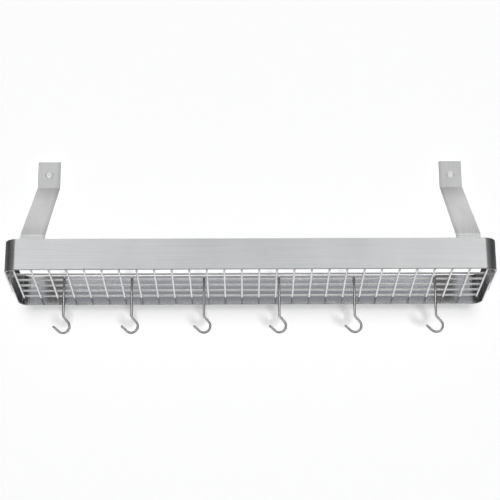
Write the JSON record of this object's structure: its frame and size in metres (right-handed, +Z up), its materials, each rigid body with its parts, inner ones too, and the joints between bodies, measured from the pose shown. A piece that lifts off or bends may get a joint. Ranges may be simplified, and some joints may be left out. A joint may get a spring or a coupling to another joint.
{
  "type": "wall pot rack",
  "caption": "Wall-mounted bookshelf pot rack: flat-strip steel rim with a wire grid shelf, bent wall straps and swinging hooks for hanging pans.",
  "frame": {"origin": "on the wall plane, midway between the axes of the two wall screws", "axes": "+X to the right along the rim, +Y into the wall, +Z up"},
  "size_m": [0.762, 0.222, 0.3333],
  "materials": {
    "rim_steel": "lengthwise brushed stainless",
    "strap_steel": "satin stainless",
    "wire_steel": "drawn stainless wire",
    "hook_steel": "polished stainless wire",
    "screw_steel": "bright plated"
  },
  "bodies": {
    "rack": {"front_band": "rim_steel", "back_band": "rim_steel", "cross_wire_01": "wire_steel", "cross_wire_02": "wire_steel", "cross_wire_03": "wire_steel", "cross_wire_04": "wire_steel", "cross_wire_05": "wire_steel", "cross_wire_06": "wire_steel", "cross_wire_07": "wire_steel", "cross_wire_08": "wire_steel", "cross_wire_09": "wire_steel", "cross_wire_10": "wire_steel", "cross_wire_11": "wire_steel", "cross_wire_12": "wire_steel", "cross_wire_13": "wire_steel", "cross_wire_14": "wire_steel", "cross_wire_15": "wire_steel", "cross_wire_16": "wire_steel", "cross_wire_17": "wire_steel", "cross_wire_18": "wire_steel", "cross_wire_19": "wire_steel", "cross_wire_20": "wire_steel", "cross_wire_21": "wire_steel", "cross_wire_22": "wire_steel", "cross_wire_23": "wire_steel", "cross_wire_24": "wire_steel", "cross_wire_25": "wire_steel", "cross_wire_26": "wire_steel", "cross_wire_27": "wire_steel", "cross_wire_28": "wire_steel", "long_wire_1": "wire_steel", "long_wire_2": "wire_steel", "long_wire_3": "wire_steel", "long_wire_4": "wire_steel", "long_wire_5": "wire_steel", "long_wire_6": "wire_steel", "left_strap": "strap_steel", "right_strap": "strap_steel", "left_wall_screw": "screw_steel", "right_wall_screw": "screw_steel"},
    "hook_1": {"hook_1": "hook_steel"},
    "hook_2": {"hook_2": "hook_steel"},
    "hook_3": {"hook_3": "hook_steel"},
    "hook_4": {"hook_4": "hook_steel"},
    "hook_5": {"hook_5": "hook_steel"},
    "hook_6": {"hook_6": "hook_steel"}
  },
  "joints": [
    {"name": "hook_1_swing", "type": "hinge", "parent": "rack", "child": "hook_1", "pos_m": [-0.29417, -0.1023, -0.2201], "axis": [1, 0, 0], "range_deg": [-70, 75]},
    {"name": "hook_2_swing", "type": "hinge", "parent": "rack", "child": "hook_2", "pos_m": [-0.18716, -0.1023, -0.2201], "axis": [1, 0, 0], "range_deg": [-70, 75]},
    {"name": "hook_3_swing", "type": "hinge", "parent": "rack", "child": "hook_3", "pos_m": [-0.07345, -0.1023, -0.2201], "axis": [1, 0, 0], "range_deg": [-70, 75]},
    {"name": "hook_4_swing", "type": "hinge", "parent": "rack", "child": "hook_4", "pos_m": [0.04505, -0.1023, -0.2201], "axis": [1, 0, 0], "range_deg": [-70, 75]},
    {"name": "hook_5_swing", "type": "hinge", "parent": "rack", "child": "hook_5", "pos_m": [0.16342, -0.1023, -0.2201], "axis": [1, 0, 0], "range_deg": [-70, 75]},
    {"name": "hook_6_swing", "type": "hinge", "parent": "rack", "child": "hook_6", "pos_m": [0.29115, -0.1023, -0.2201], "axis": [1, 0, 0], "range_deg": [-70, 75]}
  ]
}
